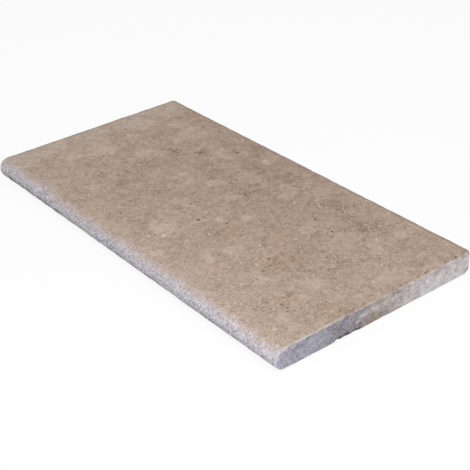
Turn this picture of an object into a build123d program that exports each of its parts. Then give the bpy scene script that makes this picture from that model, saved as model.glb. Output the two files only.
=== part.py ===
from build123d import *
import os
from math import cos, hypot, radians, sin, sqrt

# A pool coping stone: a slab of sawn limestone whose long edge over the water is a full bullnose,
# tumbled after sawing so that every arris is worn round and chipped.
# X runs along the pool's edge, -Y points out over the water and +Z is up.
# The origin is the middle of the bed, the face that lies in the mortar.

# Driving sizes, in millimetres
length = 610.0
width = 305.0
thickness = 30.0
corner_radius = 3.5     # the two upright corners at the back
arris_radius = 3.0      # what tumbling leaves on every other edge

# The bullnose takes up the whole thickness, so its centre line is half way up
nose_radius = thickness / 2
nose_centre_y = -width / 2 + nose_radius
nose_centre_z = thickness / 2

# Bowls knocked out of the bed's arris at the right-hand end, for each one its place along Y,
# the bowl's radius, how high its rim stands on the end and how far it reaches in along the bed
end_chips = [
    (-61.5, 7.5, 6.5, 4.6),
    (-51.0, 24.0, 8.0, 3.6),
    (-36.5, 13.0, 7.0, 4.0),
    (40.5, 8.0, 3.2, 3.2),
    (73.0, 11.0, 2.6, 3.0),
    (96.0, 12.0, 3.2, 3.0),
    (150.5, 12.0, 7.0, 6.0),
]

# A broad shallow spall in the right-hand end, as wide as spall_width where it runs out at the bed
spall_y = 5.5
spall_width = 63.0
spall_height = 16.0
spall_bowl_radius = 230.0

# Bites out of the underside of the nose, for each one its place along X, its angle below level
# as seen from the nose's centre line, the bowl's radius and its depth
nose_chips = [
    (-268.0, 26.0, 9.0, 1.5),
    (-196.0, 30.0, 7.0, 1.3),
    (-151.0, 30.0, 8.0, 1.2),
    (-2.0, 24.0, 9.0, 1.2),
    (33.0, 27.0, 8.0, 1.4),
    (61.0, 24.0, 6.0, 1.2),
    (76.0, 34.0, 10.0, 1.5),
    (188.0, 30.0, 8.0, 1.2),
]

with BuildPart() as coping_stone:
    # The section across the slab, drawn once and run along the pool's edge
    with BuildSketch(Plane.YZ):
        with BuildLine():
            bed = Line((nose_centre_y, 0), (width / 2, 0))
            back = Line(bed @ 1, (width / 2, thickness))
            top = Line(back @ 1, (nose_centre_y, thickness))
            TangentArc(top @ 1, bed @ 0, tangent=top % 1)
        make_face()
    extrude(amount=length / 2, both=True)

    # Upright corners at the back, rounded more than the rest
    fillet(coping_stone.edges().filter_by(Axis.Z), corner_radius)

    # Every other arris: both outlines of the ends, the nose's arcs among them, and the back's two
    end_edges = coping_stone.edges().filter_by(Axis.Y)
    arcs = coping_stone.edges().filter_by(GeomType.CIRCLE)
    back_edges = coping_stone.edges().filter_by(Axis.X).group_by(Axis.Y)[-1]
    fillet(end_edges + arcs + back_edges, arris_radius)

    # Chips along the bed's arris at the right-hand end: each bowl passes through its rim on the end
    # and its rim on the bed, so its middle lies outside, square to the line between the two
    for place, bowl_radius, rim_height, rim_reach in end_chips:
        rim_apart = hypot(rim_height, rim_reach)
        outward = sqrt(bowl_radius**2 - (rim_apart / 2) ** 2) / rim_apart
        bowl_x = length / 2 - rim_reach / 2 + outward * rim_height
        bowl_z = rim_height / 2 - outward * rim_reach
        with Locations((bowl_x, place, bowl_z)):
            Sphere(bowl_radius, mode=Mode.SUBTRACT)

    # The spall: a bowl that meets the end in a circle through its two feet and its crown
    crown_drop = ((spall_width / 2) ** 2 - spall_height**2) / (2 * spall_height)
    rim_radius = crown_drop + spall_height
    spall_beyond = sqrt(spall_bowl_radius**2 - rim_radius**2)
    with Locations((length / 2 + spall_beyond, spall_y, -crown_drop)):
        Sphere(spall_bowl_radius, mode=Mode.SUBTRACT)

    # Chips under the nose
    for place, below_level, bowl_radius, depth in nose_chips:
        reach = nose_radius + bowl_radius - depth
        bowl_y = nose_centre_y - reach * cos(radians(below_level))
        bowl_z = nose_centre_z - reach * sin(radians(below_level))
        with Locations((place, bowl_y, bowl_z)):
            Sphere(bowl_radius, mode=Mode.SUBTRACT)

coping_stone.part.label = "coping_stone"

os.makedirs("parts", exist_ok=True)
export_step(coping_stone.part, "parts/coping_stone.step")
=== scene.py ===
import math

import bpy
import numpy as np
from bpy.props import FloatProperty, FloatVectorProperty, IntProperty, PointerProperty
from mathutils import Matrix, Vector
from mathutils.geometry import delaunay_2d_cdt


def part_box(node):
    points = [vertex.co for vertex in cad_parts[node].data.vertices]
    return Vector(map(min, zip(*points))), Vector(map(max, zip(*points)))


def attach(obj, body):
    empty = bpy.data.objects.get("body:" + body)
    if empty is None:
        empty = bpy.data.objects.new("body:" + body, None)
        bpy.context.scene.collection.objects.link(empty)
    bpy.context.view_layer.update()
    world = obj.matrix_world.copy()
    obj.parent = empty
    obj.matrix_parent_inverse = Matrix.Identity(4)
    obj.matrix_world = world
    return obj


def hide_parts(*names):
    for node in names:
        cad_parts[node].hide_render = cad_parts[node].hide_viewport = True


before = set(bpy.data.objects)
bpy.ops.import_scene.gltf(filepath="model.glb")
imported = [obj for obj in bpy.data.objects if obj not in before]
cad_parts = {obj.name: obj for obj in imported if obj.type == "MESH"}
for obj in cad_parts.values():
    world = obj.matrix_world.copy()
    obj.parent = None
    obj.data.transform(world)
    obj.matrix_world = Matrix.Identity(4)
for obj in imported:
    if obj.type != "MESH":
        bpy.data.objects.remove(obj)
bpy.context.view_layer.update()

bl_info = {
    "name": "Tumbled Coping Stone",
    "version": (1, 0, 0),
    "blender": (4, 5, 0),
    "location": "3D View > Sidebar > Coping",
    "description": "Models a bullnosed pool coping stone with worn arrises, chips and pits",
    "category": "Mesh",
}

NODE = "coping_stone"
PIECE = "tumbled_stone"
LOW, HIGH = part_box(NODE)
MM = 0.001

# Bowls chipped out of the bed's arris at the right-hand end: place along Y, radius, how high the rim
# stands on the end and how far it reaches in along the bed
END_CHIPS = (
    (-61.5, 7.5, 6.5, 4.6),
    (-51.0, 24.0, 8.0, 3.6),
    (-36.5, 13.0, 7.0, 4.0),
    (40.5, 8.0, 3.2, 3.2),
    (73.0, 11.0, 2.6, 3.0),
    (96.0, 12.0, 3.2, 3.0),
    (150.5, 12.0, 7.0, 6.0),
)

# Bites out of the underside of the nose: place along X, degrees below level, radius and depth
NOSE_CHIPS = (
    (-268.0, 26.0, 9.0, 1.5),
    (-196.0, 30.0, 7.0, 1.3),
    (-151.0, 30.0, 8.0, 1.2),
    (-2.0, 24.0, 9.0, 1.2),
    (33.0, 27.0, 8.0, 1.4),
    (61.0, 24.0, 6.0, 1.2),
    (76.0, 34.0, 10.0, 1.5),
    (188.0, 30.0, 8.0, 1.2),
)

# The broad spall in the right-hand end: place along Y, width and height of its rim, bowl radius
SPALL = (5.5, 63.0, 16.0, 230.0)

# Pale clouds in the honed top: place along X and Y, and radius, in millimetres
PALE_CLOUDS = (
    (-100, 88, 20), (-186, 98, 28), (-222, 104, 20), (-262, 62, 22), (-43, 28, 11), (44, 92, 14),
    (50, 70, 12), (-22, 70, 18), (-94, 14, 10), (-72, 6, 12), (64, 4, 9), (42, -22, 9),
    (28, -38, 10), (-18, -30, 12), (6, -90, 18), (-134, -101, 13), (-181, 15, 14), (186, -76, 12),
    (232, -33, 13), (243, -66, 11), (114, -57, 12), (228, 70, 12), (176, 60, 16), (284, 30, 10),
    (104, -92, 15), (272, -110, 16), (-232, -22, 22), (-242, -66, 18), (223, 123, 12),
    (-284, -12, 9), (61, -129, 7), (5, 24, 9), (-42, 124, 7), (124, 56, 10), (-235, 22, 13),
    (134, 42, 9), (16, 70, 8), (-284, 132, 9),
)

# Darker, grittier clouds, in the same units
DARK_CLOUDS = (
    (-128, 72, 11), (-152, 46, 20), (-84, 52, 15), (-140, -4, 16), (-128, -44, 21), (-197, -56, 17),
    (10, 112, 20), (-46, 100, 11), (-80, 132, 16), (110, 116, 24), (172, 106, 25), (246, 108, 22),
    (180, -4, 18), (168, -46, 18), (82, -45, 14), (-13, -44, 8), (-292, 8, 9), (-244, 124, 10),
    (14, 44, 13), (-66, 50, 10), (-30, -80, 12), (-240, 50, 12), (-276, 84, 12), (222, 20, 14),
    (-80, -76, 17), (246, -88, 12), (160, -127, 13), (284, 92, 12), (-92, -20, 11), (-288, -74, 9),
)

# Rusty stains, in the same units
STAINS = (
    (77, -32, 22), (170, -40, 26), (-74, -48, 10), (-143, -128, 22), (-227, 140, 24),
    (-262, 100, 12), (236, -80, 14), (120, 8, 14), (282, -60, 14),
)

# Pinkish blushes, in the same units
BLUSHES = (
    (-114, -70, 11), (32, 51, 9), (217, 82, 11), (-264, 28, 18), (-266, 122, 20), (-218, -2, 13),
    (140, -6, 12), (127, -90, 14), (-60, -112, 12),
)

# White fossils that stand out, in the same units
FOSSILS = (
    (27, -89, 1.8), (26, -94, 1.2), (28, -100, 2.4), (88, 101, 1.8), (17, -26, 1.4),
    (152, -118, 1.4), (210, -122, 1.6), (-60, 20, 1.0), (189, 113, 1.3), (210, 88, 1.2),
    (-148, -102, 1.3), (127, -62, 1.2), (45, -69, 1.1), (273, -45, 1.1), (223, 52, 1.0),
    (177, -109, 1.1), (215, -12, 1.0), (61, -124, 1.3), (-127, -113, 1.3),
)

# Small dark blots, in the same units
BLOTS = (
    (-127, 72, 3.6), (-122, 75, 2.6), (-155, 46, 3.0), (-149, 48, 2.0), (222, -1, 2.0),
    (-93, 110, 2.2), (241, -90, 2.0), (-54, -109, 1.9), (12, 42, 1.4), (122, 66, 1.5),
    (9, -57, 1.9), (64, 84, 1.7), (-31, 22, 1.7), (253, -129, 1.6), (-13, -42, 2.4),
    (-279, -25, 1.8), (186, 91, 1.8),
)

# Clusters of open pits in the top: place along X and Y, spread, how many and how large
PIT_CLUSTERS = (
    (-130, 79, 2.5, 5, 1.9), (-157, 54, 2.5, 5, 1.8), (-148, 62, 7.0, 6, 1.3),
    (-143, 4, 6.0, 6, 1.3), (-66, 48, 8.0, 7, 1.3), (-82, 60, 5.0, 4, 1.3), (-44, 20, 5.0, 3, 1.4),
    (25, -44, 0.5, 2, 2.3), (57, -23, 0.8, 1, 2.2), (29, -2, 2.0, 3, 1.6), (-9, 36, 3.0, 4, 1.5),
    (13, 42, 3.0, 3, 1.6), (-18, 15, 5.0, 3, 1.4), (-70, -40, 9.0, 12, 1.3),
    (-90, 110, 3.0, 2, 1.9), (116, 80, 6.0, 6, 1.5), (160, 61, 0.8, 1, 2.0), (124, 66, 2.0, 2, 1.7),
    (157, -38, 1.0, 1, 1.7), (173, -59, 1.2, 2, 2.0), (170, -46, 12.0, 16, 1.4),
    (184, 96, 10.0, 12, 1.4), (150, 104, 12.0, 12, 1.3), (70, -44, 12.0, 12, 1.2),
    (200, -10, 16.0, 16, 1.3), (250, -88, 12.0, 16, 1.6), (274, -128, 8.0, 5, 1.6),
    (282, 70, 12.0, 12, 1.3), (-58, -108, 4.0, 3, 1.6), (110, -76, 12.0, 10, 1.4),
)

# Darker marks and paler ones in the right-hand end: place along Y and Z, half as wide, half as tall; the
# darker marks low over the chips, between Y -64 and -30, are painted shade of the undercut
DARK_MARKS = (
    (-126, 20, 14, 3.6), (-60, 16, 9, 7), (-47, 7, 17, 5), (-31, 6, 4, 6), (-20, 26, 6, 2.5),
    (-17, 11, 3, 5), (64, 12, 1.5, 8), (90, 2, 4, 2), (146, 5, 3, 4),
)
PALE_MARKS = (
    (-31, 12, 3, 3), (-22, 18, 6, 2.2), (-4, 20, 8, 2.5), (44, 5, 8, 5), (82, 8, 20, 5),
    (120, 5, 14, 4),
)

# Ragged hollows over the largest chips, painted nearly black as shade of the undercut, in the same units
HOLLOWS = (
    (-61, 5, 5, 5),
    (-50, 4, 6, 3),
    (-36, 4, 7, 3.5),
)

# Brown earth held in the spall, in the same units
EARTH_MARKS = (
    (-9, 8, 17, 8.5),
    (17, 8, 14, 8),
)


def linear(red, green, blue):
    """A colour written as it looks on a screen, 0 to 255, turned into scene light."""
    return tuple((part / 255) ** 2.2 for part in (red, green, blue))


def size(name, description, default):
    """A length, in metres."""
    return FloatProperty(name=name, description=description, default=default, unit="LENGTH", precision=5)


def tint(name, description, *seen):
    """A colour of the stone, given as it looks on a screen."""
    return FloatVectorProperty(name=name, description=description, default=linear(*seen),
                               subtype="COLOR", min=0, max=1)


class CopingShape(bpy.types.PropertyGroup):
    """Sizes of the stone and of what tumbling did to it"""

    nose_radius: size("Nose radius", "Half the thickness, for a full bullnose", (HIGH.z - LOW.z) / 2)
    nose_corner: size("Nose corner", "Roundness in plan where the nose runs into an end", 0.0036)
    back_corner: size("Back corner", "Roundness in plan of the right-hand corner at the back", 0.0068)
    far_corner: size("Far corner", "Roundness in plan of the left-hand corner at the back", 0.0024)
    right_wear: size("Right wear", "Radius worn on the top's arris at the right-hand end", 0.0032)
    left_wear: size("Left wear", "Radius worn on the top's arris at the left-hand end", 0.0040)
    back_wear: size("Back wear", "Radius worn on the top's arris along the back", 0.0020)
    lower_wear: size("Lower wear", "Radius worn on the arrises round the bed", 0.0040)
    spacing: size("Mesh spacing", "Distance between points round the stone's edge", 0.0017)
    ripple: size("Ripple", "Deepest slow hollow that tumbling wore into an edge", 0.0011)
    rough: size("Roughness", "Deepest fine hollow in the nose and the ends", 0.0004)
    pit_size: size("Pit size", "Radius of a common open pit in the top", 0.0009)
    pit_count: IntProperty(name="Pits", description="How many pits lie scattered over the top",
                           default=900, min=0)
    seed: IntProperty(name="Seed", description="Changes the scatter of pits and the wear", default=7)


class CopingFinish(bpy.types.PropertyGroup):
    """Colours of the limestone, honed, worn and sawn"""

    honed: tint("Honed", "Common colour of the honed top", 166, 146, 130)
    tone: tint("Tone", "Greyer colour that shades the honed top", 157, 147, 138)
    cloud: tint("Cloud", "Colour of the pale clouds in the top", 188, 169, 153)
    gritty: tint("Gritty", "Colour of the darker, grittier stone", 145, 126, 110)
    stain: tint("Stain", "Colour of the rusty stains", 167, 139, 115)
    blush: tint("Blush", "Colour of the pinkish patches", 184, 150, 136)
    pit: tint("Pit", "Colour of the bottom of a pit", 84, 66, 52)
    speck: tint("Speck", "Colour of the white fossils", 224, 212, 198)
    dust: tint("Dust", "Colour of the dusty margin by the left-hand end", 194, 177, 167)
    dusting: tint("Dusting", "Grey that shades the worn stone", 178, 174, 180)
    bruise: tint("Bruise", "Colour of bruised grains high on the nose", 196, 186, 189)
    powder: tint("Powder", "Colour of the powdery nose", 187, 181, 187)
    lilac: tint("Lilac", "Colour of the nose at its middle", 178, 174, 182)
    # The grey below the nose's middle and the underside colour are partly the stone's own and partly
    # painted shade of the nose turning under
    shade: tint("Shaded grey", "Colour of the nose below its middle", 158, 155, 161)
    under: tint("Underside", "Colour of the nose's underside", 146, 144, 149)
    slate: tint("Blue grey", "Colour of the end towards the nose", 158, 156, 166)
    dusk: tint("Dusk", "Colour of the darker band beside it", 143, 139, 145)
    rose: tint("Rose grey", "Colour of the end above the spall", 171, 161, 159)
    pearl: tint("Pearl", "Colour of the end towards the back", 193, 186, 188)
    flush: tint("Flush", "Pinker colour over it, higher up", 208, 196, 201)
    chalk: tint("Chalk", "Colour of the end's chalky marks", 202, 199, 200)
    # Partly bruised stone and partly a painted highlight on the rounded corner
    knock_and_highlight: tint("Knocked and highlit corner", "Colour of the end's corner beside the nose", 200, 195, 205)
    deep: tint("Deep grey", "Colour of the end's darker marks", 124, 118, 124)
    earth: tint("Earth", "Colour of the brown patch in the spall", 152, 138, 128)
    # Partly bruised stone and partly a painted highlight along the rounded arris
    ridge: tint("Ridge", "Colour of the end's bruised upper arris", 206, 194, 191)
    # Painted shade: the grey laid along the far arrises, where they turn away from the light
    arris_shade: tint("Arris shade", "Colour of the far arrises", 130, 126, 121)
    # Painted shade: the nearly black colour of the shadowed hollows
    hollow: tint("Hollow", "Colour of the end's ragged hollows", 78, 70, 74)
    # Partly the broken stone's colour and partly painted shade inside the chips
    broken: tint("Broken", "Colour of the stone inside a chip", 94, 88, 91)
    bed: tint("Bed", "Colour of the sawn bed", 178, 167, 158)


class CopingStage(bpy.types.PropertyGroup):
    """Where the camera stands and how bright the studio is"""

    azimuth: FloatProperty(name="Azimuth", description="Camera's turn round the stone",
                           default=math.radians(53.113), subtype="ANGLE")
    elevation: FloatProperty(name="Elevation", description="Camera's height as an angle",
                             default=math.radians(30.437), subtype="ANGLE")
    roll: FloatProperty(name="Roll", description="Camera's tilt about its own line of sight",
                        default=math.radians(-2.638), subtype="ANGLE")
    distance: size("Distance", "From the camera to the point that it looks at", 1.465908)
    aim: FloatVectorProperty(name="Aim", description="Point that the camera looks at",
                             default=(0.045612, -0.002866, 0.0), subtype="TRANSLATION")
    lens: FloatProperty(name="Lens", description="Focal length in millimetres", default=87.402)
    sky: FloatProperty(name="Sky", description="Strength of the even light", default=0.60)
    lamp: FloatProperty(name="Lamp", description="Power of the large soft lamp in watts", default=11.5)


class Wiring:
    """Adds nodes to a tree and joins them up, with one call for each node."""

    def __init__(self, tree):
        self.tree = tree

    def node(self, kind, inputs=None, **settings):
        made = self.tree.nodes.new(kind)
        for name, value in settings.items():
            setattr(made, name, value)
        for name, value in (inputs or {}).items():
            self.feed(made.inputs[name], value)
        return made

    def feed(self, socket, value):
        if isinstance(value, bpy.types.NodeSocket):
            self.tree.links.new(value, socket)
        elif socket.type == "RGBA" and len(value) == 3:
            socket.default_value = (*value, 1.0)
        else:
            socket.default_value = value

    def math(self, operation, first, second=0.0, third=0.0):
        made = self.node("ShaderNodeMath", {0: first, 1: second, 2: third}, operation=operation)
        return made.outputs[0]

    def times(self, first, second):
        return self.math("MULTIPLY", first, second)

    def minus(self, first, second):
        return self.math("SUBTRACT", first, second)

    def times_plus(self, first, factor, added):
        return self.math("MULTIPLY_ADD", first, factor, added)

    def plus(self, first, second):
        return self.math("ADD", first, second)

    def highest(self, first, second):
        return self.math("MAXIMUM", first, second)

    def vector(self, operation, first, second=None, scale=None):
        made = self.node("ShaderNodeVectorMath", {0: first}, operation=operation)
        if second is not None:
            self.feed(made.inputs[1], second)
        if scale is not None:
            self.feed(made.inputs["Scale"], scale)
        return made.outputs["Value" if operation in ("LENGTH", "DISTANCE") else "Vector"]

    def ramp(self, value, start, end, low=0.0, high=1.0):
        """A smooth climb from low to high as the value goes from start to end."""
        made = self.node("ShaderNodeMapRange", {"Value": value, "From Min": start, "From Max": end,
                                                "To Min": low, "To Max": high},
                         interpolation_type="SMOOTHSTEP")
        return made.outputs["Result"]

    def blend(self, amount, first, second):
        """The first colour where the amount is 0, the second where it is 1."""
        made = self.node("ShaderNodeMix", data_type="RGBA")
        for socket, value in ((0, amount), (6, first), (7, second)):
            self.feed(made.inputs[socket], value)
        return made.outputs[2]

    def noise(self, place, scale, detail=3.0, roughness=0.55, seed=0.0, output=0):
        made = self.node("ShaderNodeTexNoise", {"Vector": place, "W": seed, "Scale": scale,
                                                "Detail": detail, "Roughness": roughness},
                         noise_dimensions="4D")
        return made.outputs[output]


def cleared(owner):
    """The empty node tree of a material or a world."""
    owner.use_nodes = True
    owner.node_tree.nodes.clear()
    return owner.node_tree


def smooth(value, start, end):
    """A climb from 0 to 1, level at both ends."""
    part = np.clip((np.asarray(value, float) - start) / (end - start), 0, 1)
    return part * part * (3 - 2 * part)


class Skin:
    """The stone's edge as a grid: stations run round its plan, rows run from the bed to the top."""

    # How far the outermost loops of the bed and the top stand in from the edge
    SHOULDERS = (8.0 * MM, 5.2 * MM, 3.2 * MM, 2.0 * MM, 1.2 * MM, 0.6 * MM)
    # Stations round a corner in plan, and how much closer rows lie than stations
    CORNER_STEPS = 6
    ROW_DENSITY = 1.35

    def __init__(self, shape):
        self.shape = shape
        length, width = HIGH.x - LOW.x, HIGH.y - LOW.y
        along_end = round((width - shape.nose_corner - shape.back_corner) / shape.spacing)
        along_back = round((length - shape.back_corner - shape.far_corner) / shape.spacing)
        self.sides = (along_end, along_back, along_end, along_back)
        self.turn = self.CORNER_STEPS
        self.rows = round(math.pi * shape.nose_radius / shape.spacing * self.ROW_DENSITY)
        self.nose = self.share_of_nose()
        self.far = self.share_of_far_sides()
        self.upper_wear = self.wear_round_top()

    def share_of_nose(self):
        """For each station, 1 along the nose, 0 along the other sides and in between at its corners."""
        corner = smooth(np.arange(self.turn), 0, self.turn)
        end, back, left, nose = self.sides
        return np.concatenate([np.zeros(end + self.turn + back + self.turn + left), corner,
                               np.ones(nose), 1 - corner])

    def share_of_far_sides(self):
        """For each station, 1 along the back and the left-hand end, 0 along the other two sides."""
        corner = smooth(np.arange(self.turn), 0, self.turn)
        end, back, left, nose = self.sides
        return np.concatenate([np.zeros(end), corner, np.ones(back + self.turn + left), 1 - corner,
                               np.zeros(nose + self.turn)])

    def wear_round_top(self):
        """For each station, the radius worn on the top's arris there."""
        shape = self.shape
        part = np.arange(self.turn) / self.turn
        wears = (shape.right_wear, shape.back_wear, shape.left_wear, shape.left_wear)
        after = (shape.back_wear, shape.left_wear, shape.left_wear, shape.right_wear)
        runs = []
        for count, here, there in zip(self.sides, wears, after):
            runs += [np.full(count, here), here + part * (there - here)]
        return np.concatenate(runs)

    def loop(self, nose_inset, right_inset, back_inset, left_inset):
        """The stations at one height, where each side stands back by its own amount."""
        shape = self.shape
        left, right = LOW.x + left_inset, HIGH.x - right_inset
        front, back = LOW.y + nose_inset, HIGH.y - back_inset
        corners = (
            ((right, back), shape.back_corner),
            ((left, back), shape.far_corner),
            ((left, front), shape.nose_corner),
            ((right, front), shape.nose_corner),
        )
        arcs = []
        for quarter, ((x, y), radius) in enumerate(corners):
            angle = np.linspace(quarter, quarter + 1, self.turn, endpoint=False) * math.pi / 2
            centre_x = x - math.copysign(radius, x)
            centre_y = y - math.copysign(radius, y)
            arcs.append((np.stack([centre_x + radius * np.cos(angle),
                                   centre_y + radius * np.sin(angle)], 1),
                         (centre_x, centre_y, radius, quarter + 1)))
        points = []
        for index, count in enumerate(self.sides):
            centre_x, centre_y, radius, quarter = arcs[index - 1][1]
            angle = quarter * math.pi / 2
            start = np.array([centre_x + radius * math.cos(angle), centre_y + radius * math.sin(angle)])
            end = arcs[index][0][0]
            part = np.linspace(0, 1, count, endpoint=False)[:, None]
            points += [start + part * (end - start), arcs[index][0]]
        return np.concatenate(points)

    def wall_inset(self, height, upper_wear):
        """How far a wall stands back at a height, for the arrises that tumbling wore round."""
        for radius, distance in ((self.shape.lower_wear, height - LOW.z), (upper_wear, HIGH.z - height)):
            if distance < radius:
                return radius - math.sqrt(max(radius**2 - (radius - distance) ** 2, 0))
        return 0.0

    def layers(self):
        """From the bed to the top: height, angle round the nose, and how far in past the edge."""
        radius = self.shape.nose_radius
        yield from ((LOW.z, -90.0, shoulder) for shoulder in self.SHOULDERS)
        for row in range(self.rows + 1):
            angle = 180.0 * row / self.rows - 90.0
            yield LOW.z + radius * (1 + math.sin(math.radians(angle))), angle, 0.0
        yield from ((HIGH.z, 90.0, shoulder) for shoulder in reversed(self.SHOULDERS))

    def grid(self):
        """Points, row by row, with the attributes that the wear and the finish read."""
        shape, nose, wall, upper_wear = self.shape, self.nose, 1 - self.nose, self.upper_wear
        places = []
        values = {"honed": [], "arris": [], "rim": [], "wear": [], "bed": []}
        for height, angle, shoulder in self.layers():
            nose_inset = shape.nose_radius * (1 - math.cos(math.radians(angle))) + shoulder
            insets = [self.wall_inset(height, wear) + shoulder
                      for wear in (shape.right_wear, shape.back_wear, shape.left_wear)]
            loop = self.loop(nose_inset, *insets)
            places.append(np.column_stack([loop, np.full(len(loop), height)]))
            below_top, above_bed = HIGH.z - height, height - LOW.z
            near_edge = float(smooth(shoulder, 0.003, 0))
            upper = smooth(below_top, upper_wear * 1.3, 0) * near_edge
            lower = float(smooth(above_bed, shape.lower_wear, 0)) * near_edge
            # The band on the rounded arris where the bright ridge is laid, partly a painted highlight
            ridge = np.exp(-(((below_top - 0.40 * upper_wear) / (0.28 * upper_wear)) ** 2)) * near_edge
            on_top = height == HIGH.z
            wall_honed = 0.8 + 0.2 * float(smooth(shoulder, 0, 0.002)) if on_top else (
                0.8 * smooth(below_top, upper_wear * 0.7, upper_wear * 0.15))
            nose_honed = 0.88 + 0.12 * float(smooth(shoulder, 0, 0.008)) if on_top else (
                0.88 * min(max(angle / 90, 0), 1))
            values["honed"].append(nose_honed * nose + wall_honed * wall)
            values["arris"].append(ridge * wall)
            # rim marks the far arrises, where painted shade is laid
            on_rim = smooth(below_top, upper_wear * 1.5, upper_wear * 0.7)
            values["rim"].append(on_rim * self.far * float(smooth(shoulder, 0.0048, 0.0008)))
            fade = 1 - float(smooth(shoulder, 0, 0.008))
            worn_wall = 0.25 + 0.75 * np.maximum(upper, lower)
            worn_nose = 0.5 * (1 - float(smooth(angle, 60, 90)))
            worn_nose += 0.9 * (1 - float(smooth(angle, -45, 5)))
            values["wear"].append((worn_wall * wall + worn_nose * nose) * fade)
            values["bed"].append(np.full(len(loop), float(smooth(above_bed, 0.0015, 0))))
        return np.concatenate(places), {name: np.concatenate(rows) for name, rows in values.items()}


# How pits lie in the top: clear of the nose and the other edges by so much, further apart than
# their radii by this factor, rarer in a pale cloud by this share, and with this many rim points
PIT_MARGIN = 10 * MM
PIT_BACK_MARGIN = 16 * MM
PIT_CLEARANCE = 2.0
PALE_SHARE = 0.25
RIM_POINTS = 8

# Loose points that keep the flat faces' triangles even
TOP_SPACING = 12 * MM
BED_SPACING = 15 * MM
LOOSE_MARGIN = 14 * MM
PIT_SURROUND = 4 * MM


def pit_places(shape):
    """Pits in the honed top: centre, radius, stretch and turn of each, none touching another."""
    rng = np.random.default_rng(shape.seed)
    margin = shape.nose_radius + PIT_MARGIN
    wanted = []
    for x, y, spread, count, largest in PIT_CLUSTERS:
        middle = np.array([x, y]) * MM
        wanted.append((middle, shape.pit_size * largest * 1.3))
        for _ in range(count - 1):
            place = middle + rng.normal(0, (spread + 1.5) * MM, 2)
            wanted.append((place, shape.pit_size * rng.uniform(0.8, largest) * 1.2))
    pale = np.array(PALE_CLOUDS) * MM
    for _ in range(shape.pit_count):
        place = rng.uniform((LOW.x + margin, LOW.y + margin), (HIGH.x - margin, HIGH.y - margin))
        in_cloud = (np.hypot(*(pale[:, :2] - place).T) < pale[:, 2] * 0.8).any()
        if not in_cloud or rng.random() < PALE_SHARE:
            wanted.append((place, shape.pit_size * rng.lognormal(-0.15, 0.35)))
    kept = []
    for place, radius in wanted:
        inside = abs(place[0]) < HIGH.x - margin and LOW.y + margin < place[1] < HIGH.y - PIT_BACK_MARGIN
        clear = all(math.dist(place, other) > (radius + taken) * PIT_CLEARANCE
                    for other, taken, *_ in kept)
        if inside and clear:
            kept.append((place, radius, rng.uniform(0.6, 1.0), rng.uniform(0, math.pi)))
    return kept, rng


def pit_rings(shape):
    """Points of every pit: a flat guard ring, a rim, a floor ring and the deepest point."""
    pits, rng = pit_places(shape)
    points, depths = [], []
    around = np.linspace(0, 2 * math.pi, RIM_POINTS + 1)[:-1]
    for place, radius, stretch, turn in pits:
        wobble = rng.uniform(0.8, 1.2, RIM_POINTS)
        depth = radius * rng.uniform(0.7, 1.1)
        for reach, sunk in ((1.7, 0.0), (1.0, 0.06), (0.6, 0.75)):
            ragged = 1.0 if sunk == 0.0 else wobble
            across = radius * reach * ragged
            local = np.stack([across * np.cos(around), across * stretch * np.sin(around)], 1)
            turned = np.stack([local[:, 0] * math.cos(turn) - local[:, 1] * math.sin(turn),
                               local[:, 0] * math.sin(turn) + local[:, 1] * math.cos(turn)], 1)
            points += list(place + turned)
            depths += [depth * sunk] * len(around)
        points.append(place)
        depths.append(depth)
    return np.array(points), np.array(depths)


def filler(spacing, seed, margin):
    """A jittered scatter of points that keeps the flat faces' triangles even."""
    rng = np.random.default_rng(seed)
    across = np.arange(LOW.x + margin, HIGH.x - margin, spacing)
    up = np.arange(LOW.y + margin, HIGH.y - margin, spacing)
    grid = np.stack(np.meshgrid(across, up), -1).reshape(-1, 2)
    return grid + rng.uniform(-0.3, 0.3, grid.shape) * spacing


def fill(loop, extra, height, first_index, new_index, turned_over):
    """Triangles inside a loop of grid points, and through extra ones numbered from new_index."""
    flat = [Vector(point) for point in np.concatenate([loop, extra])]
    around = list(range(len(loop)))
    places, _, faces, origins, *_ = delaunay_2d_cdt(flat, [], [around], 1, 1e-7)
    index, added, sources = [], [], []
    for place, origin in zip(places, origins):
        number = origin[0] if origin else -1
        if 0 <= number < len(loop):
            index.append(first_index + number)
        else:
            index.append(new_index + len(added))
            added.append((place.x, place.y, height))
            sources.append(number - len(loop))
    triangles = [[index[corner] for corner in (reversed(face) if turned_over else face)] for face in faces]
    return triangles, added, sources


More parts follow.
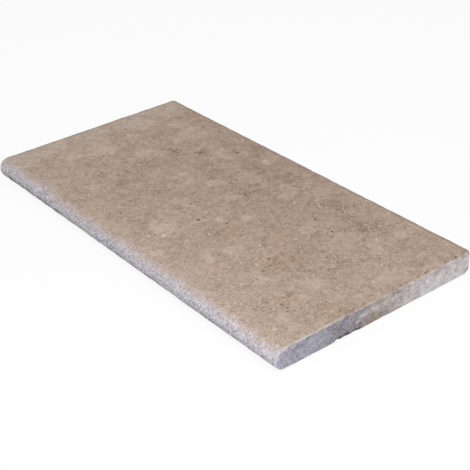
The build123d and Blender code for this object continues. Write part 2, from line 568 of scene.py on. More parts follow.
def blank_mesh(shape):
    """The whole stone before tumbling, one closed skin with open pits marked in its top."""
    skin = Skin(shape)
    points, values = skin.grid()
    stations = len(skin.nose)
    rows = len(points) // stations
    number = np.arange(rows * stations).reshape(rows, stations)
    onward = np.roll(number, -1, axis=1)
    quads = np.stack([number[:-1], onward[:-1], onward[1:], number[1:]], -1).reshape(-1, 4)
    faces = [list(map(int, quad)) for quad in quads]
    pits, depths = pit_rings(shape)
    margin = shape.nose_radius + LOOSE_MARGIN
    top_loose = filler(TOP_SPACING, shape.seed, margin)
    near_pit = np.array([np.min(np.hypot(*(pits - place).T)) < PIT_SURROUND for place in top_loose])
    top_extra = np.concatenate([pits, top_loose[~near_pit]])
    top_depth = np.concatenate([depths, np.zeros(len(top_extra) - len(depths))])
    parts = (
        (points[-stations:, :2], top_extra, HIGH.z, (rows - 1) * stations, False),
        (points[:stations, :2], filler(BED_SPACING, shape.seed + 1, margin), LOW.z, 0, True),
    )
    pit = np.zeros(len(points))
    for loop, extra, height, first, turned_over in parts:
        triangles, added, sources = fill(loop, extra, height, first, len(points), turned_over)
        faces += triangles
        points = np.concatenate([points, np.array(added)])
        on_bed = height == LOW.z
        pit = np.concatenate([pit, [0.0 if on_bed else top_depth[number] for number in sources]])
        flat = {"honed": 0.0 if on_bed else 1.0, "arris": 0.0, "rim": 0.0, "wear": 0.0,
                "bed": float(on_bed)}
        values = {name: np.concatenate([values[name], np.full(len(added), level)])
                  for name, level in flat.items()}
    values["pit"] = pit
    mesh = bpy.data.meshes.new(PIECE)
    mesh.from_pydata(points.tolist(), [], faces)
    for name, numbers in values.items():
        attribute = mesh.attributes.new(name, "FLOAT", "POINT")
        attribute.data.foreach_set("value", numbers.astype(np.float32))
    mesh.validate()
    return mesh


def bowls(shape):
    """Centre and radius, in metres, of every bowl knocked out of the stone, and how dark its inside is
    painted, partly as broken stone and partly as painted shade.
    """
    found = []
    for place, radius, rim_height, rim_reach in END_CHIPS:
        apart = math.hypot(rim_height, rim_reach)
        outward = math.sqrt(radius**2 - (apart / 2) ** 2) / apart
        beyond = outward * rim_height - rim_reach / 2
        above = rim_height / 2 - outward * rim_reach
        found.append(((HIGH.x + beyond * MM, place * MM, LOW.z + above * MM), radius * MM, 1.0))
    place, wide, tall, radius = SPALL
    drop = ((wide / 2) ** 2 - tall**2) / (2 * tall)
    beyond = math.sqrt(radius**2 - (drop + tall) ** 2) * MM
    found.append(((HIGH.x + beyond, place * MM, LOW.z - drop * MM), radius * MM, 0.15))
    nose_y, nose_z = LOW.y + shape.nose_radius, LOW.z + shape.nose_radius
    for place, below_level, radius, depth in NOSE_CHIPS:
        reach = shape.nose_radius + (radius - depth) * MM
        angle = math.radians(below_level)
        centre = (place * MM, nose_y - reach * math.cos(angle), nose_z - reach * math.sin(angle))
        found.append((centre, radius * MM, 1.0))
    return found


def bowl_group():
    """Geometry nodes that press a stone in wherever it reaches into one bowl."""
    group = bpy.data.node_groups.new("Bowl", "GeometryNodeTree")
    for name, kind in (("Geometry", "Geometry"), ("Centre", "Vector"), ("Radius", "Float"),
                       ("Raggedness", "Float"), ("Darkening", "Float")):
        group.interface.new_socket(name, in_out="INPUT", socket_type="NodeSocket" + kind)
    group.interface.new_socket("Geometry", in_out="OUTPUT", socket_type="NodeSocketGeometry")
    wire = Wiring(group)
    given = wire.node("NodeGroupInput").outputs
    place = wire.node("GeometryNodeInputPosition").outputs[0]
    outward = wire.vector("SUBTRACT", place, given["Centre"])
    ragged = wire.times(wire.noise(place, 210, 2), given["Raggedness"])
    reach = wire.minus(given["Radius"], ragged)
    cut = wire.highest(wire.minus(reach, wire.vector("LENGTH", outward)), 0.0)
    before = wire.node("GeometryNodeInputNamedAttribute", {"Name": "chip"}, data_type="FLOAT")
    darkened = wire.times(wire.times(cut, given["Darkening"]), 1 / MM)
    deeper = wire.highest(before.outputs[0], darkened)
    marked = wire.node("GeometryNodeStoreNamedAttribute",
                       {"Geometry": given["Geometry"], "Name": "chip", "Value": deeper},
                       data_type="FLOAT", domain="POINT")
    push = wire.vector("SCALE", wire.vector("NORMALIZE", outward), scale=cut)
    moved = wire.node("GeometryNodeSetPosition", {"Geometry": marked.outputs[0], "Offset": push})
    wire.node("NodeGroupOutput", {"Geometry": moved.outputs[0]})
    return group


def tumble_tree(shape, material):
    """Geometry nodes that wear a sawn blank as a tumbling barrel does, then chip and pit it."""
    tree = bpy.data.node_groups.new("Tumble", "GeometryNodeTree")
    tree.interface.new_socket("Geometry", in_out="INPUT", socket_type="NodeSocketGeometry")
    for name, value in (("Ripple", shape.ripple), ("Roughness", shape.rough), ("Pit depth", 1.0),
                        ("Raggedness", 0.6 * MM), ("Seed", float(shape.seed))):
        socket = tree.interface.new_socket(name, in_out="INPUT", socket_type="NodeSocketFloat")
        socket.default_value = value
    tree.interface.new_socket("Geometry", in_out="OUTPUT", socket_type="NodeSocketGeometry")
    wire = Wiring(tree)
    given = wire.node("NodeGroupInput").outputs
    place = wire.node("GeometryNodeInputPosition").outputs[0]
    normal = wire.node("GeometryNodeInputNormal").outputs[0]

    def marked(name):
        return wire.node("GeometryNodeInputNamedAttribute", {"Name": name}, data_type="FLOAT").outputs[0]

    slow = wire.ramp(wire.noise(place, 42, 2, seed=given["Seed"]), 0.3, 0.75)
    quick = wire.noise(place, 170, 3, 0.6, seed=given["Seed"])
    fine = wire.ramp(wire.noise(place, 330, 2, 0.6, seed=given["Seed"]), 0.3, 0.75)
    rippled = wire.times(wire.times(slow, quick), given["Ripple"])
    depth = wire.plus(rippled, wire.times(fine, given["Roughness"]))
    inward = wire.times(wire.times(depth, marked("wear")), -1.0)
    worn = wire.node("GeometryNodeSetPosition", {
        "Geometry": given["Geometry"], "Offset": wire.vector("SCALE", normal, scale=inward)})
    flow = worn.outputs[0]
    bowl = bowl_group()
    for centre, radius, darkening in bowls(shape):
        press = wire.node("GeometryNodeGroup", node_tree=bowl)
        for name, value in (("Geometry", flow), ("Centre", centre), ("Radius", radius),
                            ("Raggedness", given["Raggedness"]), ("Darkening", darkening)):
            wire.feed(press.inputs[name], value)
        flow = press.outputs[0]
    sink = wire.times(wire.times(marked("pit"), given["Pit depth"]), -1.0)
    down = wire.node("ShaderNodeCombineXYZ", {"Z": sink}).outputs[0]
    pitted = wire.node("GeometryNodeSetPosition", {"Geometry": flow, "Offset": down})
    smoothed = wire.node("GeometryNodeSetShadeSmooth", {"Geometry": pitted.outputs[0]})
    real = wire.node("GeometryNodeRealizeInstances", {"Geometry": smoothed.outputs[0]})
    dressed = wire.node("GeometryNodeSetMaterial", {"Geometry": real.outputs[0], "Material": material})
    wire.node("NodeGroupOutput", {"Geometry": dressed.outputs[0]})
    return tree


class Paint(Wiring):
    """Wiring for the limestone's colour, with the places and patterns that its parts share."""

    def __init__(self, tree, finish):
        super().__init__(tree)
        self.finish = finish
        self.place = self.node("ShaderNodeTexCoord").outputs["Object"]
        axes = self.node("ShaderNodeSeparateXYZ", {"Vector": self.place}).outputs
        self.along, self.across, self.height = axes[0], axes[1], axes[2]
        self.on_right = self.ramp(self.along, HIGH.x - 0.0050, HIGH.x - 0.0015)
        self.off_right = self.minus(1.0, self.on_right)
        self.plain = self.plain_walls()

    def plain_walls(self):
        """1 on the back and on the left-hand end beyond the nose, 0 elsewhere."""
        at_back = self.ramp(self.across, HIGH.y - 0.004, HIGH.y - 0.001)
        at_left = self.ramp(self.along, LOW.x + 0.005, LOW.x + 0.0015)
        at_left = self.times(at_left, self.ramp(self.across, -0.130, -0.090))
        return self.times(self.highest(at_back, at_left), self.off_right)

    def cover(self, colour, over, share, strength):
        """A colour with another laid over it, where the share says and as thick as the strength."""
        return self.blend(self.times(share, strength), colour, over)

    def away(self, value, middle):
        """How far a value is from a middle, to either side."""
        return self.math("ABSOLUTE", self.minus(value, middle))

    def marked(self, name):
        """One of the numbers that the mesh carries."""
        return self.node("ShaderNodeAttribute", attribute_name=name).outputs["Fac"]

    def swing(self, scale, detail=3, roughness=0.65, seed=0.0):
        """Noise that swings about nought."""
        return self.minus(self.noise(self.place, scale, detail, roughness, seed), 0.5)

    def wander(self, place, scale, reach, seed):
        """A place shifted by noise, so that what is drawn there gets ragged edges."""
        drift = self.noise(self.place, scale, 3, 0.6, seed, output=1)
        drift = self.vector("SUBTRACT", drift, (0.5, 0.5, 0.5))
        return self.vector("ADD", place, self.vector("SCALE", drift, scale=reach))

    def within(self, place, spots):
        """How far inside the nearest of several round spots: 1 at a middle, 0 at a rim, less outside."""
        depth = -4.0
        for x, y, radius in spots:
            away = self.vector("DISTANCE", place, (x * MM, y * MM, 0.0))
            depth = self.highest(depth, self.times_plus(away, -1 / (radius * MM), 1.0))
        return depth

    def within_oval(self, place, middle, half):
        """1 at an oval's middle, falling smoothly to 0 at its rim; all in metres."""
        offset = self.vector("SUBTRACT", place, (*middle, 0.0))
        squeezed = self.vector("MULTIPLY", offset, (1 / half[0], 1 / half[1], 0.0))
        return self.ramp(self.vector("LENGTH", squeezed), 1.0, 0.0)

    def in_marks(self, place, marks, soft=0.5):
        """How far inside the nearest of several long marks on the right-hand end, from 0 to 1."""
        depth = -4.0
        for y, z, half_wide, half_tall in marks:
            offset = self.vector("SUBTRACT", place, (0.0, y * MM, z * MM))
            squared = self.vector("MULTIPLY", offset, (0.0, 1 / (half_wide * MM), 1 / (half_tall * MM)))
            depth = self.highest(depth, self.minus(1.0, self.vector("LENGTH", squared)))
        return self.ramp(depth, -0.4 * soft, 0.6 * soft)

    def clots(self, place, scale, seed):
        """Patches of even tone with crisp edges, as broken shell and mud make, about nought."""
        cell = self.node("ShaderNodeTexVoronoi", {"Vector": place, "W": seed, "Scale": scale},
                         voronoi_dimensions="4D")
        tone = self.node("ShaderNodeSeparateColor", {"Color": cell.outputs["Color"]}).outputs[0]
        return self.minus(tone, 0.5)

    def shaded(self, colour, greyer, *changes):
        """A colour lightened and darkened by each change, a swing about nought and its strength.

        What is added is a share of a greyer colour, so that light grains aren't more vivid than
        dark ones."""
        total = 0.0
        for swing, strength in changes:
            total = self.times_plus(swing, strength, total)
        return self.vector("ADD", colour, self.vector("SCALE", greyer, scale=total))

    def patches(self, place, scale, seed, soft=0.035):
        """Blotches with ragged but crisp edges that cover half the stone, about nought."""
        level = self.noise(place, scale, 6, 0.68, seed)
        return self.minus(self.ramp(level, 0.5 - soft, 0.5 + soft), 0.5)

    def bands(self, value, stops):
        """A colour that goes through several in turn as the value climbs from 0 to 1."""
        made = self.node("ShaderNodeValToRGB", {"Fac": value})
        elements = made.color_ramp.elements
        while len(elements) < len(stops):
            elements.new(1.0)
        for element, (position, colour) in zip(elements, stops):
            element.position = position
            element.color = (*colour, 1.0)
        return made.outputs["Color"]


def honed_top(paint):
    """The honed face: clouds, grit, stains and clots, and how gritty each place is."""
    finish, place = paint.finish, paint.place
    flat = paint.vector("MULTIPLY", place, (1.0, 1.0, 0.0))
    flat = paint.wander(flat, 24, 0.046, 1.0)
    flat = paint.wander(flat, 90, 0.020, 2.0)
    flat = paint.vector("MULTIPLY", flat, (1.0, 1.0, 0.0))
    ragged = paint.swing(52, 6, 0.74, 3.0)
    pale = paint.ramp(paint.times_plus(ragged, 3.4, paint.within(flat, PALE_CLOUDS)), 0.06, 0.17)
    dark = paint.ramp(paint.times_plus(ragged, -3.0, paint.within(flat, DARK_CLOUDS)), 0.00, 0.30)
    rusty = paint.ramp(paint.within(flat, STAINS), -0.25, 0.6)
    pink = paint.ramp(paint.within(flat, BLUSHES), -0.25, 0.6)

    colour = paint.cover(finish.honed, finish.gritty, dark, 0.36)
    colour = paint.cover(colour, finish.cloud, pale, 0.50)
    colour = paint.cover(colour, finish.stain, rusty, 0.42)
    colour = paint.cover(colour, finish.blush, pink, 0.30)

    # Dust near the left-hand end, and the broad change of tone from the back to the near corner
    dust = paint.ramp(paint.times_plus(ragged, 0.10, paint.along), LOW.x + 0.065, LOW.x + 0.004)
    colour = paint.cover(colour, finish.dust, dust, 0.40)
    middle = paint.within_oval(place, (-0.005, 0.090), (0.340, 0.200))
    by_nose = paint.ramp(paint.across, LOW.y + 0.045, LOW.y + 0.014)
    colour = paint.cover(colour, finish.dust, by_nose, 0.14)
    near = paint.times(by_nose, paint.ramp(paint.along, 0.10, 0.30))

    crumbled = paint.wander(place, 150, 0.0110, 5.0)
    even = paint.patches(crumbled, 34, 30.0, 0.022)
    coarse_right = paint.ramp(paint.along, -0.25, 0.30, 0.90, 1.22)
    grit = paint.times(coarse_right, paint.times_plus(even, -0.75, 1.0))
    grit = paint.times(grit, paint.ramp(pale, 0.0, 1.0, 1.06, 0.62))
    crisp = paint.ramp(paint.along, -0.28, 0.15, 1.35, 1.0)
    colour = paint.shaded(
        colour, finish.tone,
        (middle, -0.13),
        (near, 0.07),
        (paint.patches(crumbled, 15, 31.0, 0.018), 0.050),
        (even, 0.080),
        (paint.times(paint.patches(crumbled, 80, 32.0, 0.045), crisp), 0.115),
        (paint.times(paint.patches(crumbled, 175, 35.0, 0.06), crisp), 0.130),
        (paint.clots(paint.wander(place, 260, 0.0060, 6.0), 210, 7.0), 0.10),
        (paint.times(paint.swing(150, 3, 0.65, 9.0), grit), 0.36),
        (paint.times(paint.swing(360, 3, 0.7, 10.0), grit), 1.22),
    )

    # Dark holes too small to model, thickest in the gritty patches, and pale grains among them
    gritty_here = paint.times(grit, paint.ramp(dark, 0.0, 1.0, 0.17, 0.23))
    worm = paint.ramp(paint.noise(crumbled, 300, 2, 0.55, 11.0), 0.40, 0.30)
    small_pit = paint.times(worm, gritty_here)
    colour = paint.blend(small_pit, colour, finish.pit)
    grain = paint.ramp(paint.noise(crumbled, 330, 2, 0.6, 12.0), 0.60, 0.70)
    close = paint.vector("MULTIPLY", paint.wander(place, 320, 0.0024, 38.0), (1.0, 1.0, 0.0))
    shell = paint.ramp(paint.within(close, FOSSILS), -0.2, 0.3)
    shining = paint.times(grit, paint.ramp(paint.along, -0.18, 0.12, 0.34, 0.54))
    bright = paint.highest(paint.times(grain, shining), paint.times(shell, 0.70))
    colour = paint.blend(bright, colour, finish.speck)
    blot = paint.ramp(paint.within(close, BLOTS), -0.3, 0.5)
    blot = paint.times(blot, paint.ramp(paint.swing(260, 3, 0.65, 39.0), 0.06, -0.06, 0.45, 0.85))
    colour = paint.blend(blot, colour, finish.pit)
    open_pit = paint.ramp(paint.marked("pit"), 0.0, 0.0012)
    colour = paint.cover(colour, finish.pit, open_pit, 0.90)
    return colour, small_pit


def worn_nose(paint):
    """The nose and the plain walls: dusty above, greyer at the middle and dark underneath; the grey and
    the dark underneath are partly the stone's own colour and partly painted shade where the nose turns
    under.
    """
    finish = paint.finish
    wobble = paint.times(paint.swing(70, 4, 0.65, 13.0), 0.010)
    level = paint.math("DIVIDE", paint.plus(paint.height, wobble), HIGH.z)
    level = paint.highest(level, paint.times(paint.plain, 0.50))
    # The low bands are partly painted shade, darker as the nose turns down and away from the light
    colour = paint.bands(level, (
        (0.10, finish.under), (0.26, finish.under), (0.40, finish.shade), (0.53, finish.lilac),
        (0.80, finish.powder), (0.95, finish.bruise), (1.0, finish.bruise)))

    # Darker patches along the underside beside each chip
    uneven = paint.times_plus(paint.swing(140, 3, 0.65, 44.0), 0.012, paint.along)
    bare = 0.0
    for chip, _, radius, _ in NOSE_CHIPS:
        away = paint.away(uneven, chip * MM)
        bare = paint.highest(bare, paint.ramp(away, radius * 1.3 * MM, radius * 0.6 * MM))
    low = paint.ramp(paint.height, HIGH.z * 0.48, HIGH.z * 0.34)
    front = paint.ramp(paint.across, LOW.y + 0.012, LOW.y + 0.008)
    bare = paint.times(paint.times(bare, low), front)
    bare = paint.times(bare, paint.ramp(paint.along, -0.15, -0.05, 0.80, 0.50))
    return paint.blend(bare, colour, finish.broken)


def right_end(paint):
    """The end that took most knocks: blue grey, then dusky, rosy and powdery, with its marks."""
    finish = paint.finish
    crumbled = paint.wander(paint.place, 60, 0.022, 14.0)
    across = paint.node("ShaderNodeSeparateXYZ", {"Vector": crumbled}).outputs[1]
    level = paint.math("DIVIDE", paint.minus(across, LOW.y), HIGH.y - LOW.y)
    colour = paint.bands(level, (
        (0.03, finish.slate), (0.21, finish.slate), (0.27, finish.dusk), (0.40, finish.dusk),
        (0.45, finish.rose), (0.63, finish.rose), (0.74, finish.pearl), (1.0, finish.pearl)))
    tanned = paint.ramp(paint.times_plus(paint.swing(90, 4, 0.7, 15.0), 0.020, paint.height),
                        0.0215, 0.0300)
    from_nose = paint.ramp(paint.across, -0.130, -0.095, 0.10, 0.40)
    stronger = paint.ramp(paint.away(paint.across, 0.074), 0.050, 0.015, 0.0, 0.32)
    weaker = paint.ramp(paint.away(paint.across, 0.020), 0.034, 0.014, 0.0, -0.30)
    tan_strength = paint.plus(paint.plus(from_nose, stronger), weaker)
    tanned = paint.times(tanned, tan_strength)
    colour = paint.blend(tanned, colour, finish.gritty)
    dark = paint.in_marks(crumbled, DARK_MARKS)
    colour = paint.cover(colour, finish.deep, dark, 0.50)
    earth = paint.in_marks(crumbled, EARTH_MARKS)
    colour = paint.cover(colour, finish.earth, earth, 0.88)
    pale = paint.in_marks(crumbled, PALE_MARKS)
    colour = paint.cover(colour, finish.chalk, pale, 0.45)
    flushed = paint.times(paint.ramp(paint.height, 0.008, 0.016),
                          paint.ramp(paint.across, 0.045, 0.070, 0.0, 0.34))
    flushed = paint.times(flushed, paint.ramp(paint.height, 0.0250, 0.0205))
    colour = paint.blend(flushed, colour, finish.flush)

    # Painted shade: nearly black in the hollows above the largest chips, where the undercut lies in shadow
    hollow = paint.in_marks(crumbled, HOLLOWS)
    torn = paint.ramp(paint.swing(170, 3, 0.7, 46.0), -0.04, 0.06, 0.0, 0.62)
    hollow = paint.times(hollow, torn)
    colour = paint.blend(hollow, colour, finish.hollow)

    # Scratches that slant down the end, most of them towards the nose
    slant = paint.node("ShaderNodeVectorRotate", {"Vector": paint.place, "Angle": math.radians(-38)},
                       rotation_type="X_AXIS").outputs[0]
    slant = paint.vector("MULTIPLY", slant, (1.0, 0.12, 1.0))
    scratches = paint.minus(paint.noise(slant, 260, 3, 0.6, 36.0), 0.5)
    scratched = paint.ramp(paint.across, 0.04, -0.04, 0.35, 1.0)
    colour = paint.shaded(colour, finish.dusting, (paint.times(scratches, scratched), 0.80))

    # The arris round the nose's end, bruised widest at its top, and partly a painted highlight on the
    # rounded corner
    radius = HIGH.z / 2
    axis = (0.0, LOW.y + radius, radius)
    offset = paint.vector("MULTIPLY", paint.vector("SUBTRACT", paint.place, axis), (0.0, 1.0, 1.0))
    behind = paint.ramp(paint.across, LOW.y + radius + 0.012, LOW.y + radius - 0.003)
    rim = paint.minus(radius, paint.vector("LENGTH", offset))
    rim = paint.times_plus(paint.swing(70, 2, 0.6, 42.0), 0.010, rim)
    rim = paint.times_plus(paint.swing(190, 4, 0.75, 33.0), 0.016, rim)
    inside = paint.minus(rim, paint.ramp(paint.height, 0.019, 0.028, 0.0022, 0.0042))
    corner = paint.times(paint.ramp(inside, 0.0030, -0.0010), behind)
    return paint.cover(colour, finish.knock_and_highlight, corner, 0.85)


def limestone(finish):
    """The stone's material: honed tan above, powdery lilac where tumbling bruised it."""
    material = bpy.data.materials.new("Tumbled limestone")
    paint = Paint(cleared(material), finish)
    place = paint.place

    top, small_pit = honed_top(paint)
    worn = paint.blend(paint.on_right, worn_nose(paint), right_end(paint))
    dusted_place = paint.wander(place, 300, 0.0040, 16.0)
    near_end = paint.times(paint.ramp(paint.along, 0.05, 0.30), paint.off_right)
    cloudy = paint.times(paint.on_right, paint.ramp(paint.across, -0.06, 0.05))
    coarse = paint.times_plus(paint.on_right, -2.00, 3.80)
    coarse = paint.times_plus(paint.plain, -1.90, coarse)
    patchy = paint.ramp(paint.along, -0.12, -0.20, 0.0, 0.85)
    # Painted bounce light: the nose's lower part is lightened, as if lit from the white floor beneath it
    below = paint.ramp(paint.height, 0.017, 0.010)
    below = paint.times(below, paint.ramp(paint.along, -0.15, -0.08))
    below = paint.times(below, paint.ramp(paint.along, 0.08, 0.20, 1.0, 0.55))
    drawn_out = paint.vector("MULTIPLY", place, (0.07, 1.0, 1.0))
    lines = paint.minus(paint.noise(drawn_out, 300, 3, 0.6, 43.0), 0.5)
    broad = paint.swing(28, 3, 0.6, 18.0)
    worn = paint.shaded(
        worn, finish.dusting,
        (near_end, 0.08),
        # painted bounce light low on the nose
        (paint.times(below, paint.off_right), 0.14),
        (paint.clots(dusted_place, 150, 17.0), 0.12),
        (broad, paint.times_plus(cloudy, 0.80, 0.05)),
        (paint.swing(70, 3, 0.65, 19.0), paint.times_plus(cloudy, 1.05, 0.12)),
        (paint.plus(broad, paint.swing(80, 3, 0.6, 45.0)), patchy),
        (paint.swing(160, 3, 0.65, 20.0), paint.times_plus(cloudy, 0.60, 0.60)),
        (paint.swing(380, 3, 0.75, 21.0), coarse),
        (lines, paint.times(paint.off_right, 0.55)),
    )
    worn = paint.shaded(worn, (0.055, 0.005, -0.055), (paint.swing(45, 4, 0.6, 40.0), 1.0))

    # Grain by grain the honed face gives way to the worn stone
    grain = paint.plus(paint.times(paint.swing(330, 3, 0.75, 22.0), 1.4),
                       paint.times(paint.swing(100, 3, 0.6, 23.0), 0.45))
    uneven = paint.ramp(paint.along, -0.16, -0.08, 1.00, 0.65)
    grain = paint.times_plus(paint.swing(14, 3, 0.6, 37.0), uneven, grain)
    honed = paint.ramp(paint.plus(paint.marked("honed"), grain), 0.10, 0.90)
    colour = paint.blend(honed, worn, top)

    # The bright ridge on the right-hand end's upper arris, and painted shade along the far arrises, greyer
    # where they turn away from the light
    # The ridge is partly bruised stone and partly a painted highlight along the rounded arris
    broken = paint.ramp(paint.swing(110, 4, 0.75, 24.0), -0.10, 0.08)
    ridge = paint.times(paint.marked("arris"), broken)
    strength = paint.ramp(paint.across, -0.075, -0.045, 0.85, 0.38)
    strength = paint.highest(strength, paint.ramp(paint.across, 0.020, 0.060, 0.0, 0.90))
    bright = paint.times(ridge, paint.times(paint.on_right, strength))
    colour = paint.blend(bright, colour, finish.ridge)
    seam = paint.times(paint.ramp(paint.along, HIGH.x - 0.0072, HIGH.x - 0.0044),
                       paint.ramp(paint.along, HIGH.x - 0.0016, HIGH.x - 0.0030))
    dashes = paint.ramp(paint.swing(130, 3, 0.7, 41.0), 0.00, 0.08, 0.0, 0.50)
    dashes = paint.times(dashes, paint.ramp(paint.across, -0.100, -0.080))
    dashes = paint.times(dashes, paint.ramp(paint.across, 0.020, 0.060, 0.80, 1.30))
    colour = paint.cover(colour, finish.pit, seam, dashes)
    # Painted shade along the far arrises that the rim attribute marks
    shade_amount = paint.ramp(paint.swing(48, 5, 0.75, 34.0), -0.14, 0.10, 0.30, 0.95)
    colour = paint.cover(colour, finish.arris_shade, paint.marked("rim"), shade_amount)
    # Inside the chips the stone is darker, partly the broken stone and partly painted shade of the
    # undercut
    chipped = paint.ramp(paint.marked("chip"), 0.05, 1.0)
    colour = paint.cover(colour, finish.broken, chipped, 0.85)

    # The sawn bed: pale, with the saw's marks across it
    sawn = paint.marked("bed")
    stretched = paint.vector("MULTIPLY", place, (0.6, 30.0, 1.0))
    saw_marks = paint.minus(paint.noise(stretched, 22, 3, 0.6, 25.0), 0.5)
    bed = paint.shaded(finish.bed, finish.bed, (saw_marks, 0.60), (paint.swing(40, 5, 0.7, 26.0), 0.70))
    colour = paint.cover(colour, bed, sawn, 0.9)

    worn_share = paint.minus(1.0, honed)
    fine = paint.times(paint.noise(place, 900, 4, 0.7, 27.0), 0.00012)
    bruised = paint.times(paint.noise(place, 300, 3, 0.6, 28.0), 0.00045)
    relief = paint.times_plus(bruised, worn_share, fine)
    relief = paint.times_plus(small_pit, -0.0004, relief)
    relief = paint.times_plus(paint.times(saw_marks, sawn), 0.0006, relief)
    bump = paint.node("ShaderNodeBump", {"Height": relief, "Strength": 0.8, "Distance": 1.0})
    polish = paint.ramp(paint.noise(place, 120, 3, 0.6, 29.0), 0.3, 0.7, 0.50, 0.64)
    rough = paint.times_plus(worn_share, 0.24, polish)
    shader = paint.node("ShaderNodeBsdfPrincipled", {"Base Color": colour, "Roughness": rough,
                                                     "Normal": bump.outputs[0]})
    shader.inputs["Specular IOR Level"].default_value = 0.3
    paint.node("ShaderNodeOutputMaterial", {"Surface": shader.outputs[0]})
    return material


class COPING_OT_stone(bpy.types.Operator):
    """Carves, tumbles, chips and pits the coping stone, and gives it its limestone"""

    bl_idname = "coping.stone"
    bl_label = "Tumbled Stone"

    def execute(self, context):
        shape, finish = context.scene.coping_shape, context.scene.coping_finish
        stone = bpy.data.objects.new(PIECE, blank_mesh(shape))
        context.scene.collection.objects.link(stone)
        material = limestone(finish)
        modifier = stone.modifiers.new("Tumble", "NODES")
        modifier.node_group = tumble_tree(shape, material)
        for item in modifier.node_group.interface.items_tree:
            if item.in_out == "INPUT" and item.socket_type == "NodeSocketFloat":
                modifier[item.identifier] = item.default_value
        graph = context.evaluated_depsgraph_get()
        finished = bpy.data.meshes.new_from_object(stone.evaluated_get(graph), depsgraph=graph)
        if not finished.polygons:
            raise RuntimeError("the tumbled stone came out empty")
        stone.modifiers.remove(modifier)
        blank = stone.data
        stone.data = finished
        bpy.data.meshes.remove(blank)
        finished.name = PIECE
        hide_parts(NODE)
        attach(stone, "root")
        return {"FINISHED"}


# The studio: half the floor's side, how much of it the camera sees as plain white, and the lamp
FLOOR_HALF = 6.0
FLOOR_GLOW = 0.88
LAMP_WIDTH = 1.1
LAMP_PLACE = (0.75, -0.55, 1.15)
LAMP_AIM = (0.15, -0.02, 0.0)


def light_room(settings):
    """An even white world, seen as plain white by the camera."""
    world = bpy.data.worlds.new("Studio")
    bpy.context.scene.world = world
    wire = Wiring(cleared(world))
    path = wire.node("ShaderNodeLightPath").outputs
    seen = wire.highest(path["Is Camera Ray"], path["Is Glossy Ray"])
    seen = wire.highest(seen, path["Is Transmission Ray"])
    strength = wire.times_plus(seen, 1.0 - settings.sky, settings.sky)
    light = wire.node("ShaderNodeBackground", {"Color": (1.0, 1.0, 1.0), "Strength": strength})
    wire.node("ShaderNodeOutputWorld", {"Surface": light.outputs[0]})


def lay_floor():
    """A pale floor that the camera sees as nearly white, with the stone's shadow on it."""
    half = FLOOR_HALF
    mesh = bpy.data.meshes.new("floor")
    mesh.from_pydata([(-half, -half, 0), (half, -half, 0), (half, half, 0), (-half, half, 0)], [],
                     [(0, 1, 2, 3)])
    floor = bpy.data.objects.new("floor", mesh)
    bpy.context.scene.collection.objects.link(floor)
    material = bpy.data.materials.new("Floor")
    wire = Wiring(cleared(material))
    paint = wire.node("ShaderNodeBsdfDiffuse", {"Color": (0.9, 0.9, 0.9)})
    glow = wire.node("ShaderNodeEmission", {"Color": (1.0, 1.0, 1.0), "Strength": 1.0})
    path = wire.node("ShaderNodeLightPath").outputs
    amount = wire.times(path["Is Camera Ray"], FLOOR_GLOW)
    mixed = wire.node("ShaderNodeMixShader", {0: amount, 1: paint.outputs[0], 2: glow.outputs[0]})
    wire.node("ShaderNodeOutputMaterial", {"Surface": mixed.outputs[0]})
    mesh.materials.append(material)


def hang_lamp(settings):
    """One large soft lamp above the near right-hand corner."""
    light = bpy.data.lights.new("softbox", "AREA")
    light.shape = "DISK"
    light.size = LAMP_WIDTH
    light.energy = settings.lamp
    lamp = bpy.data.objects.new("softbox", light)
    lamp.location = LAMP_PLACE
    aim = Vector(LAMP_AIM) - lamp.location
    lamp.rotation_euler = aim.to_track_quat("-Z", "Y").to_euler()
    bpy.context.scene.collection.objects.link(lamp)


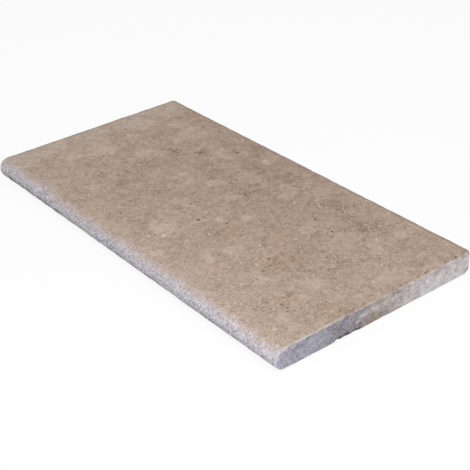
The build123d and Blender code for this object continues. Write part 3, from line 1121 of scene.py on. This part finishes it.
def place_camera(settings):
    """The camera at the angle and distance from which the stone is seen."""
    azimuth, elevation, roll = settings.azimuth, settings.elevation, settings.roll
    back = Vector((math.sin(azimuth) * math.cos(elevation), -math.cos(azimuth) * math.cos(elevation),
                   math.sin(elevation)))
    right = Vector((0, 0, 1)).cross(back).normalized()
    up = back.cross(right)
    right, up = (math.cos(roll) * right + math.sin(roll) * up,
                 math.cos(roll) * up - math.sin(roll) * right)
    data = bpy.data.cameras.new("camera")
    data.lens = settings.lens
    data.sensor_width = 36.0
    data.clip_start, data.clip_end = 0.05, 50.0
    camera = bpy.data.objects.new("camera", data)
    turn = Matrix((right, up, back)).transposed().to_4x4()
    camera.matrix_world = Matrix.Translation(Vector(settings.aim) + back * settings.distance) @ turn
    bpy.context.scene.collection.objects.link(camera)
    bpy.context.scene.camera = camera


class COPING_OT_stage(bpy.types.Operator):
    """Lays the floor, sets the lights and stands the camera"""

    bl_idname = "coping.stage"
    bl_label = "Studio"

    def execute(self, context):
        settings = context.scene.coping_stage
        light_room(settings)
        lay_floor()
        hang_lamp(settings)
        place_camera(settings)
        context.scene.view_settings.view_transform = "Standard"
        return {"FINISHED"}


class COPING_PT_panel(bpy.types.Panel):
    """The stone's settings and the buttons that make it"""

    bl_idname = "COPING_PT_panel"
    bl_label = "Coping Stone"
    bl_space_type = "VIEW_3D"
    bl_region_type = "UI"
    bl_category = "Coping"

    def draw(self, context):
        for group, button in (("coping_shape", None), ("coping_finish", "coping.stone"),
                              ("coping_stage", "coping.stage")):
            settings = getattr(context.scene, group)
            column = self.layout.column()
            for name in settings.bl_rna.properties.keys():
                if name not in ("rna_type", "name"):
                    column.prop(settings, name)
            if button:
                self.layout.operator(button)


CLASSES = (CopingShape, CopingFinish, CopingStage, COPING_OT_stone, COPING_OT_stage, COPING_PT_panel)
GROUPS = {"coping_shape": CopingShape, "coping_finish": CopingFinish, "coping_stage": CopingStage}


def register():
    for cls in CLASSES:
        bpy.utils.register_class(cls)
    for name, group in GROUPS.items():
        setattr(bpy.types.Scene, name, PointerProperty(type=group))


def unregister():
    for name in GROUPS:
        delattr(bpy.types.Scene, name)
    for cls in reversed(CLASSES):
        bpy.utils.unregister_class(cls)


def main():
    register()
    bpy.ops.coping.stone()
    bpy.ops.coping.stage()


if __name__ == "__main__":
    main()
